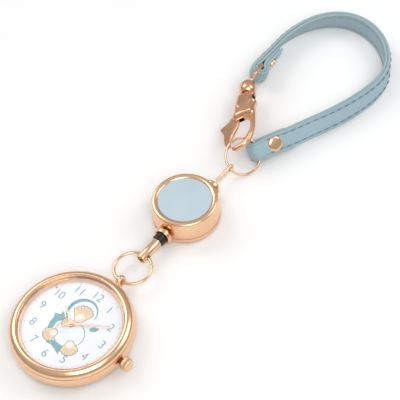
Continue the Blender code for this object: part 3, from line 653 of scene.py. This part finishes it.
def cord_uv(bm, along, round_it):
    """Gives a cord its UV from two functions of a point in millimetres."""
    layer = bm.loops.layers.uv.new("run")
    for face in bm.faces:
        for loop in face.loops:
            point = loop.vert.co / MM
            loop[layer].uv = (along(point), round_it(point))
    return bm


CORD_R = 0.35
LEAD_FROM = 41.0  # X of its end in the bumper
LEAD_LENGTH = 8.6
LEAD_SPANS = 36


def round_chain(point):
    """The angle of a point round the chain's middle line."""
    return math.atan2(point.z - CHAIN_Z, point.y - CHAIN_Y)


lead_steps = [LEAD_FROM + LEAD_LENGTH * i / LEAD_SPANS for i in range(LEAD_SPANS + 1)]
lead_line = [(x, CHAIN_Y, CHAIN_Z) for x in lead_steps]
lead = swept(lead_line, CORD_R, 2)
cord_uv(lead, lambda p: p.x, lambda p: round_chain(p) * CORD_R)
lead_piece = piece_from("cord_out", lead, black_braid)
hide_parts("cord_lead")
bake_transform(lead_piece)
knot = [(0, 40.9), (0.45, 40.85), (0.9, 40.6), (1.1, 40.2), (1.0, 39.9), (1.1, 39.6), (0.9, 39.2)]
knot += [(0.45, 38.95), (0, 38.9)]
bm = spun(knot, 32)
bm.transform(CHAIN)
cord_uv(bm, lambda p: p.x, round_chain)
ride(piece_from("cord_knot_tied", bm, black_braid), "cord_end", ("cord_knot",))

# ---------------------------------------------------------------- reel
# A round gold drum made of a pressed back and cover, with a satin pale blue disc let into its top.
# Inside, a spring motor winds the cord on a black spool; the cord leaves through a cupped collar.

REEL_X = 58.0
REEL = Matrix.Translation((REEL_X * MM, 0, 0))
pan = [(0, 0.7), (10.2, 0.7), (10.2, 3.6), (10.8, 3.6), (10.8, 2.4), (11.8, 2.4), (11.8, 1.1)]
pan += [(11.72, 0.7), (11.5, 0.3), (11.2, 0.08), (10.9, 0), (0, 0)]
drum_back = piece_from("drum_back", spun(pan, 112), rose_gold, REEL)
ride(drum_back, "reel_case", ("reel_back",))
drum = [(0, 8.8), (9.3, 8.8), (9.3, 9.2), (9.5, 9.4), (9.9, 9.53), (10.4, 9.57), (10.85, 9.48), (11.12, 9.25)]
drum += [(11.28, 8.9), (11.4, 8.0), (11.55, 6.5), (11.7, 5.0), (11.8, 2.6), (11.75, 2.5), (10.9, 2.5)]
drum += [(10.9, 5.0), (10.5, 8.3), (0, 8.3)]
drum_cover = piece_from("drum_cover", spun(drum, 112), rose_gold, REEL)
ride(drum_cover, "reel_case", ("reel_cover",))
satin = Finish("inlay_satin")
weave = satin.noise(2600.0, 2.0)
satin_tone = satin.mix(satin.noise(120.0), (0.44, 0.54, 0.60), (0.50, 0.60, 0.66))
satin_skin = satin.bump(weave, 0.12, 0.03)
satin_look = {"Base Color": satin_tone, "Roughness": 0.42 + 0.1 * weave, "Normal": satin_skin}
blue_satin = satin.surface(satin_look)
disc = [(0, 9.48), (6.0, 9.45), (8.9, 9.38), (9.15, 9.3), (9.2, 9.15), (9.2, 8.86), (0, 8.86)]
drum_inlay = piece_from("drum_inlay", spun(disc, 96), blue_satin, REEL)
ride(drum_inlay, "reel_case", ("reel_inlay",))
collar = [(0.55, 47.9), (1.45, 47.9), (1.45, 45.95), (2.9, 45.9), (3.12, 45.8), (3.2, 45.6)]
collar += [(3.2, 44.6), (3.14, 44.4), (2.95, 44.3), (2.6, 44.32), (2.45, 44.5), (2.45, 45.15)]
collar += [(0.55, 45.15)]
cord_cup = piece_from("cord_cup", spun(collar, 64), rose_gold, CHAIN)
ride(cord_cup, "reel_case", ("cord_collar",))
refinish(brushed_steel, "reel_post", "mainspring")
moulded = Finish("moulded_black")
moulded_tone = moulded.mix(moulded.noise(500.0), (0.03, 0.03, 0.032), (0.05, 0.05, 0.052))
refinish(moulded.surface({"Base Color": moulded_tone, "Roughness": 0.5}), "spool")
LAYER_TURNS = 5
TURN_STEPS = 36
INNER_WIND = 3.95  # radius of the innermost turn
WIND_DEPTH = 3.6
WOUND_R = 0.34
winding = []
for layer_z, inward in ((2.85, False), (3.7, True), (4.55, False)):
    for i in range(LAYER_TURNS * TURN_STEPS + 1):
        share = i / (LAYER_TURNS * TURN_STEPS)
        radius = INNER_WIND + WIND_DEPTH * (1 - share if inward else share)
        angle = 2 * math.pi * LAYER_TURNS * share
        winding.append((REEL_X + radius * math.cos(angle), radius * math.sin(angle), layer_z))
bm = swept(winding, WOUND_R, 2)
cord_uv(bm, lambda p: 6 * math.atan2(p.y, p.x - REEL_X), lambda p: p.z)
ride(piece_from("cord_wound", bm, black_braid), "spool", ("wound_cord",))

# ---------------------------------------------------------------- swivel
# A gold boss on the far side of the drum holds the headed shank of a long wire eye, which turns.

SWIVEL_Y = -1.4
SWIVEL = Matrix.Translation(Vector((0, SWIVEL_Y, CHAIN_Z)) * MM) @ ALONG_X
boss = [(0.75, 71.5), (2.4, 71.5), (2.8, 71.42), (3.0, 71.15), (3.0, 70.5), (2.9, 70.35)]
boss += [(2.7, 70.3), (1.45, 70.3), (1.45, 68.6), (0.75, 68.6)]
drum_boss = piece_from("drum_boss", spun(boss, 64), rose_gold, SWIVEL)
ride(drum_boss, "reel_case", ("swivel_boss",))

BEND_R = 1.05
loop = ellipse((81.2, 0), BEND_R, BEND_R, -90, 90, count=16)
loop += ellipse((73.2, 0), BEND_R, BEND_R, 90, 270, count=16)
bail_wire = swept([(x, SWIVEL_Y, CHAIN_Z + z) for x, z in loop], 0.35, 4, closed=True)
shank_half = [(0, 72.6), (0.5, 72.6), (0.65, 72.4), (0.65, 68.4), (1.3, 68.4), (1.3, 67.9), (0, 67.9)]
shank = spun(shank_half, 32)
shank.transform(SWIVEL)
swivel_loop = piece_from("swivel_loop", together([bail_wire, shank]), rose_gold)
ride(swivel_loop, "swivel_bail", ("swivel_bail",))

# ---------------------------------------------------------------- strap
# A wrist strap of two leather layers, pale blue outside and grey blue inside, with a thin filler
# that crowns the outer layer. It is stitched along both edges with dark thread and its ends fold back.

# Stations of its middle line, in millimetres, with its lean inward in degrees.
STRAP_RUN = [
    (91.9, -6.2, 5.9, 40),
    (97.3, -8.35, 5.6, 37),
    (103.6, -11.2, 5.0, 32),
    (112.0, -14.4, 4.3, 28),
    (121.0, -18.4, 4.2, 26),
    (130.0, -21.2, 4.1, 20),
    (139.0, -22.8, 4.0, 12),
    (147.0, -22.2, 3.9, 4),
    (154.0, -18.7, 3.9, -3),
    (160.2, -12.4, 3.9, -5),
    (164.0, -4.5, 3.9, -4),
    (164.3, 4.0, 3.9, 2),
    (160.2, 11.6, 4.0, 10),
    (152.6, 16.8, 4.2, 18),
    (143.5, 19.2, 4.5, 24),
    (136.0, 19.2, 5.0, 24),
    (128.7, 18.5, 5.6, 20),
    (123.1, 18.6, 6.0, 18),
]
PLY_T = 0.9
PLY_GAP = 0.2
STRAP_T = 2 * PLY_T + PLY_GAP
STRAP_END_W = 6.4
STRAP_GAIN_W = 1.0  # how much wider it gets away from its ends
CHAIN_FOLD = 2.2  # room inside each fold
CLASP_FOLD = 2.4
FOLD_BACK = 0.4


def smooth_line(points, per_span, closed=False):
    """A Catmull-Rom curve through points of any dimension."""
    if closed:
        padded = [points[-1], *points, points[0], points[1]]
    else:
        padded = [points[0] * 2 - points[1], *points, points[-1] * 2 - points[-2]]
    line = []
    for a, b, c, d in zip(padded, padded[1:], padded[2:], padded[3:]):
        for i in range(per_span):
            t = i / per_span
            bend = (a * 2 - b * 5 + c * 4 - d) * t**2 + (b * 3 - a - c * 3 + d) * t**3
            line.append(0.5 * (b * 2 + (c - a) * t + bend))
    return line if closed else [*line, points[-1]]


def strap_run(per_span):
    """Stations of the run: middle, way up its face, way out of its outer face, and width."""
    line = smooth_line([Vector(station) for station in STRAP_RUN], per_span)
    run = []
    for i, (x, y, z, lean) in enumerate(line):
        before = line[max(i - 1, 0)]
        after = line[min(i + 1, len(line) - 1)]
        along = Vector((after.x - before.x, after.y - before.y, 0)).normalized()
        inward = Vector((-along.y, along.x, 0))
        up = (inward * math.tan(math.radians(lean)) + Vector((0, 0, 1))).normalized()
        full = min(1, min(i, len(line) - 1 - i) / (2.5 * per_span))
        width = STRAP_END_W + STRAP_GAIN_W * full
        run.append((Vector((x, y, z)), up, along.cross(up), width))
    return run


def fold_centre(run, gap):
    """The middle of the fold before the run's first station."""
    middle, _, out, _ = run[0]
    away = (run[1][0] - middle).normalized()
    return middle - away * FOLD_BACK - out * (gap + STRAP_T) / 2


def fold(run, gap):
    """Stations of a folded-back end, whose tail lies along the run's inner side."""
    _, up, out, width = run[0]
    centre = fold_centre(run, gap)
    away = (run[1][0] - run[0][0]).normalized()
    radius = (gap + STRAP_T) / 2
    close = STRAP_T + 0.15
    tail = [(place - side * close, way, width) for place, way, side, _ in reversed(run[1:5])]
    half_round = ellipse((0, 0), radius, radius, -70, 90, count=8)
    bend = [(1.0, radius - 0.2)] + [(-x, y) for x, y in half_round[::-1]]
    return tail + [(centre + away * s - out * q, up, width) for s, q in bend]


CROWN_SHARE = 0.68  # how much of the half width the crown takes up


def leather_ply(offset, crown):
    """A layer's middle sheet, with UV in millimetres along and across it.

    The offset is from the strap's middle, and the sheet's middle stands out by the crown.
    """
    run = strap_run(2)
    stations = fold(run, CHAIN_FOLD) + [(m, u, w) for m, u, _, w in run]
    stations += fold(run[::-1], CLASP_FOLD)[::-1]
    across = (-1, -0.9, -CROWN_SHARE, -0.35, 0, 0.35, CROWN_SHARE, 0.9, 1)
    bm = bmesh.new()
    layer = bm.loops.layers.uv.new("run")
    spot = {}
    length = 0.0
    row = [bm.verts.new() for _ in across]
    edges = [bm.edges.new(pair) for pair in zip(row, row[1:])]
    for i, (middle, up, width) in enumerate(stations):
        if i:
            length += (middle - stations[i - 1][0]).length
            grown = bmesh.ops.extrude_edge_only(bm, edges=edges)["geom"]
            new = [g for g in grown if isinstance(g, bmesh.types.BMVert)]
            old = {v: n for n, v in enumerate(row)}
            follows = {}
            for vert in new:
                for edge in vert.link_edges:
                    if edge.other_vert(vert) in old:
                        follows[old[edge.other_vert(vert)]] = vert
            row = [follows[n] for n in range(len(across))]
            edges = [bm.edges.get(pair) for pair in zip(row, row[1:])]
        arriving = (middle - stations[max(i - 1, 0)][0]).normalized()
        leaving = (stations[min(i + 1, len(stations) - 1)][0] - middle).normalized()
        along = (arriving + leaving).normalized()
        mitre = max(along.dot(leaving), along.dot(arriving))
        side = along.cross(up).normalized()
        for vert, share in zip(row, across):
            lift = offset / mitre + crown * max(0, 1 - (share / CROWN_SHARE) ** 2)
            vert.co = (middle + side * lift + up * width / 2 * share) * MM
            spot[vert] = (length, width / 2 * share)
    for face in bm.faces:
        for corner in face.loops:
            corner[layer].uv = spot[corner.vert]
    return bm


STITCH_LINE = 2.45  # from the strap's middle to each row


def leather(name, light, dark, edge_tone):
    """Grained leather with painted edges and a pressed line under each row of stitches."""
    finish = Finish(name)
    cells = {"Vector": finish.where(), "Scale": 1500.0}
    cell = finish.add("ShaderNodeTexVoronoi", {"feature": "DISTANCE_TO_EDGE"}, cells)
    pores = finish.noise(5200.0, 3.0)
    drift = finish.noise(70.0, 3.0)
    from_side = abs(finish.add("ShaderNodeSeparateXYZ", {}, {0: finish.where("UV")}, "Y"))
    painted = finish.add("ShaderNodeMapRange", {}, {"Value": from_side, 1: 2.9, 2: 3.3})
    groove = {"Value": abs(from_side - STITCH_LINE), 1: 0.12, 2: 0.45, 3: 1.0, 4: 0.0}
    line = finish.add("ShaderNodeMapRange", {}, groove)
    hide = finish.mix(drift, light, dark)
    # The hide is darker along the pressed line under each row of stitches.
    darker_at_groove = finish.mix(0.35 * line, hide, (0.16, 0.22, 0.25))
    tone = finish.mix(painted * 0.6, darker_at_groove, edge_tone)
    height = 1.6 * cell + 0.25 * pores - 0.5 * line
    skin = finish.bump(height, 0.35, 0.12)
    gloss = 0.44 + 0.18 * pores
    return finish.surface({"Base Color": tone, "Roughness": gloss, "Normal": skin})


blue_leather = leather("blue_leather", (0.35, 0.47, 0.53), (0.30, 0.42, 0.48), (0.28, 0.40, 0.42))
grey_leather = leather("grey_leather", (0.36, 0.46, 0.51), (0.31, 0.41, 0.46), (0.28, 0.39, 0.40))
PLY_OFFSET = (PLY_T + PLY_GAP) / 2
PLY_SWELL = 0.14  # the subdivision draws a layer in by about this much
for name, offset, crown, material, slot, node in (
    ("strap_face", PLY_OFFSET, 0.26, blue_leather, "blue_leather", "strap_outer"),
    ("strap_back", -PLY_OFFSET, 0.0, grey_leather, "grey_leather", "strap_lining"),
):
    ply = piece_from(name, leather_ply(offset, crown), material)
    shell = ply.modifiers.new("Thickness", "SOLIDIFY")
    shell.thickness = (PLY_T + PLY_SWELL) * MM
    shell.offset = 0
    shell.use_even_offset = True
    soft = ply.modifiers.new("Soft", "SUBSURF")
    soft.levels = soft.render_levels = 2
    ride(ply, "strap", (node,))

thread = Finish("dark_thread")
spiral = {"Vector": thread.where(), "Scale": 1800.0}
twist = thread.add("ShaderNodeTexWave", {"bands_direction": "DIAGONAL"}, spiral, "Fac")
thread_tone = thread.mix(twist, (0.10, 0.16, 0.19), (0.16, 0.24, 0.27))
thread_skin = thread.bump(twist, 0.4, 0.05)
dark_thread = thread.surface({"Base Color": thread_tone, "Roughness": 0.7, "Normal": thread_skin})
STITCH_PITCH = 3.0
STITCH_SIZE = (1.1, 0.22, 0.2, 1.0)  # half length, half width and half height
fine_run = strap_run(24)
# Each row starts some stations in from the ends, and the inner rows start beyond the folds' tails.
for name, face_side, lift, ends in (
    ("stitches_face", 1, 1.13, 6),
    ("stitches_back", -1, 1.11, 132),
):
    bm = bmesh.new()
    since = 0.0
    for i in range(ends, len(fine_run) - ends):
        middle, up, out, width = fine_run[i]
        since += (middle - fine_run[i - 1][0]).length
        if since < STITCH_PITCH:
            continue
        since = 0.0
        along = (fine_run[i + 1][0] - fine_run[i - 1][0]).normalized()
        for row in (-1, 1):
            spot = (middle + out * lift * face_side + up * STITCH_LINE * row) * MM
            turn = Matrix((along, up, along.cross(up))).transposed().to_4x4()
            place = Matrix.Translation(spot) @ turn @ Matrix.Diagonal(STITCH_SIZE) @ ALONG_X
            stitch = {"u_segments": 6, "v_segments": 5, "radius": MM}
            bmesh.ops.create_uvsphere(bm, matrix=place, **stitch)
    ride(piece_from(name, bm, dark_thread), "strap")

# The rivets are domed gold caps on hollow posts, pressed through the folded end into a flat base.
FACE = STRAP_T / 2 + 0.22  # height of the crowned face above the strap's middle
BACK = -STRAP_T * 1.5 - 0.3  # height of the folded tail's inner side


def frame_from(origin, forward, up):
    """A place whose X is forward and whose Z is near up."""
    x_axis = Vector(forward).normalized()
    y_axis = Vector(up).cross(x_axis).normalized()
    turn = Matrix((x_axis, y_axis, x_axis.cross(y_axis))).transposed().to_4x4()
    return Matrix.Translation(Vector(origin) * MM) @ turn


half_run = strap_run(2)
for end, (middle, up, out, _) in (("chain_end", half_run[2]), ("clasp_end", half_run[-3])):
    place = frame_from(middle, up.cross(out), out)
    cap = [(0, FACE + 0.62), (0.9, FACE + 0.6), (1.7, FACE + 0.54), (2.2, FACE + 0.44)]
    cap += [(2.55, FACE + 0.27), (2.7, FACE + 0.08), (2.62, FACE - 0.08), (0.85, FACE - 0.08)]
    cap += [(0.85, BACK - 0.5), (0, BACK - 0.5)]
    dome_piece = piece_from(f"rivet_dome_{end}", spun(cap, 48), rose_gold, place)
    ride(dome_piece, "strap", (f"rivet_cap_{end}",))
    base = [(0.95, BACK - 0.02), (2.3, BACK - 0.02), (2.3, BACK - 0.35), (2.15, BACK - 0.6)]
    base += [(1.9, BACK - 0.7), (0.95, BACK - 0.7)]
    foot_piece = piece_from(f"rivet_foot_{end}", spun(base, 48), rose_gold, place)
    ride(foot_piece, "strap", (f"rivet_base_{end}",))

# ---------------------------------------------------------------- clasp
# A lobster clasp in polished gold: a hooked body with a slot, a thumb lever on a pin that a
# spring closes, and a turning barrel with a wire loop that the strap's other end folds through.

HOOK = Vector((84.5, -1.6, 8.7))
BARREL = Vector((113.5, 14.7, 6.9))
CLASP_ROLL = math.radians(-30)
CLASP = frame_from(HOOK, BARREL - HOOK, (0, 0, 1)) @ Matrix.Rotation(CLASP_ROLL, 4, "X")
CLASP_AXIS = CLASP @ ALONG_X


def soft_plate(outline, thickness, edge):
    """A plate with rounded edges, cut to a smooth closed outline in millimetres."""
    smooth = smooth_line([Vector(corner) for corner in outline], 4, closed=True)
    curve = flat_curve([smooth], thickness / 2 - edge)
    curve.bevel_depth = edge * MM
    curve.bevel_resolution = 4
    curve.offset = -edge * MM
    return shape_of(curve)


def block(size, middle):
    bm = bmesh.new()
    bmesh.ops.create_cube(bm, size=1.0)
    bmesh.ops.scale(bm, vec=Vector(size) * MM, verts=bm.verts)
    bmesh.ops.translate(bm, vec=Vector(middle) * MM, verts=bm.verts)
    return bm


hook = [(15.8, -5.5), (11.8, -6.0), (9.0, -6.0), (6.0, -5.6), (3.6, -4.6), (2.2, -3.2)]
hook += [(1.5, -1.2), (1.3, 0.5), (1.6, 1.7), (2.6, 1.8), (2.9, 0.5), (3.2, -0.9), (4.3, -2.4)]
hook += [(6.4, -3.4), (9.0, -4.2), (11.4, -4.3), (13.6, -3.7), (15.0, -2.6), (15.6, -1.0)]
hook += [(15.4, 0.8), (15.2, 2.4), (16.4, 2.9), (20.0, 2.6), (20.0, -4.0)]
shoulder = [(28.4, -3.2), (26.0, -3.5), (24.6, -4.0), (23.4, -4.8), (22.2, -4.6), (20.0, -4.7)]
shoulder += [(17.0, -5.1), (16.4, -3.5), (16.6, -0.4), (16.4, 3.4), (20.0, 3.7), (24.3, 3.6)]
shoulder += [(28.4, 2.8)]
LEVER_ROOM = ((12.0, 6.2, 1.4), (18.2, 2.0, 0))
SHANK_ROOM = ((2.2, 12.0, 2.2), (25.4, 0, 0))
hook_plate = bored(soft_plate(hook, 1.8, 0.8), block(*LEVER_ROOM))
body = bored(soft_plate(shoulder, 4.2, 1.8), block(*LEVER_ROOM), block(*SHANK_ROOM))
clasp_shape = together([hook_plate, body])
ride(piece_from("clasp_hook", clasp_shape, clasp_gold, CLASP), "clasp", ("clasp_body",))
tab = [(3.5, 2.6), (3.5, 4.1), (4.9, 5.3), (7.5, 6.2), (10.5, 6.8), (12.9, 8.4), (14.2, 8.6)]
tab += [(15.8, 6.2), (17.3, 5.0), (21.3, 3.1), (22.9, 2.4), (23.1, 1.0), (22.2, 0.4), (18.0, 0.6)]
tab += [(14.5, 0.9), (11.5, 1.6), (8.7, 2.7), (6.6, 3.1), (4.9, 3.1)]
thumb_lever = piece_from("thumb_lever", soft_plate(tab, 1.1, 0.4), clasp_gold, CLASP)
ride(thumb_lever, "lever", ("lever",))
PIN = CLASP @ Matrix.Translation(Vector((21.6, 1.7, 0)) * MM)
pin = [(0, 2.42), (0.5, 2.38), (0.9, 2.25), (1.0, 2.1), (0.5, 2.1), (0.5, -2.1), (1.0, -2.1), (0.9, -2.25)]
pin += [(0.5, -2.38), (0, -2.42)]
ride(piece_from("lever_rivet", spun(pin, 32), clasp_gold, PIN), "clasp", ("lever_pin",))
refinish(brushed_steel, "lever_spring")

barrel = [(0, 34.6), (1.0, 34.55), (1.8, 34.4), (2.4, 34.05), (2.8, 33.5), (3.05, 32.8)]
barrel += [(3.1, 32.2), (3.1, 30.6), (3.0, 30.1), (2.75, 29.55), (2.4, 29.1), (2.2, 28.9)]
barrel += [(0.72, 28.9), (0.72, 25.7), (1.05, 25.7), (1.05, 24.9), (0, 24.9)]
barrel_shape = spun(barrel, 64)
barrel_shape.transform(CLASP_AXIS)
NECK_AT = 33.4  # how far along the clasp the wire loop leaves the barrel
LOOP_SPARE = 1.2  # how far the loop's side stands clear of the strap's edge
neck = (CLASP_AXIS @ Vector((0, 0, NECK_AT * MM))) / MM
last = half_run[::-1]
reach = fold_centre(last, CLASP_FOLD) - neck
half = STRAP_END_W / 2 + LOOP_SPARE
side = [(0.0, 1.0), (0.18, 2.2), (0.36, half - 0.5), (0.45, half), (0.95, half), (1.0, half - 0.5)]
side += [(along, -rise) for along, rise in reversed(side)]
loop_corners = [neck + reach * along + last[0][1] * rise for along, rise in side]
loop_path = smooth_line(loop_corners, 5, closed=True)
swivel_shape = together([barrel_shape, swept(loop_path, 0.6, 4, closed=True)])
ride(piece_from("clasp_swivel_loop", swivel_shape, clasp_gold), "swivel_eye", ("swivel_eye",))
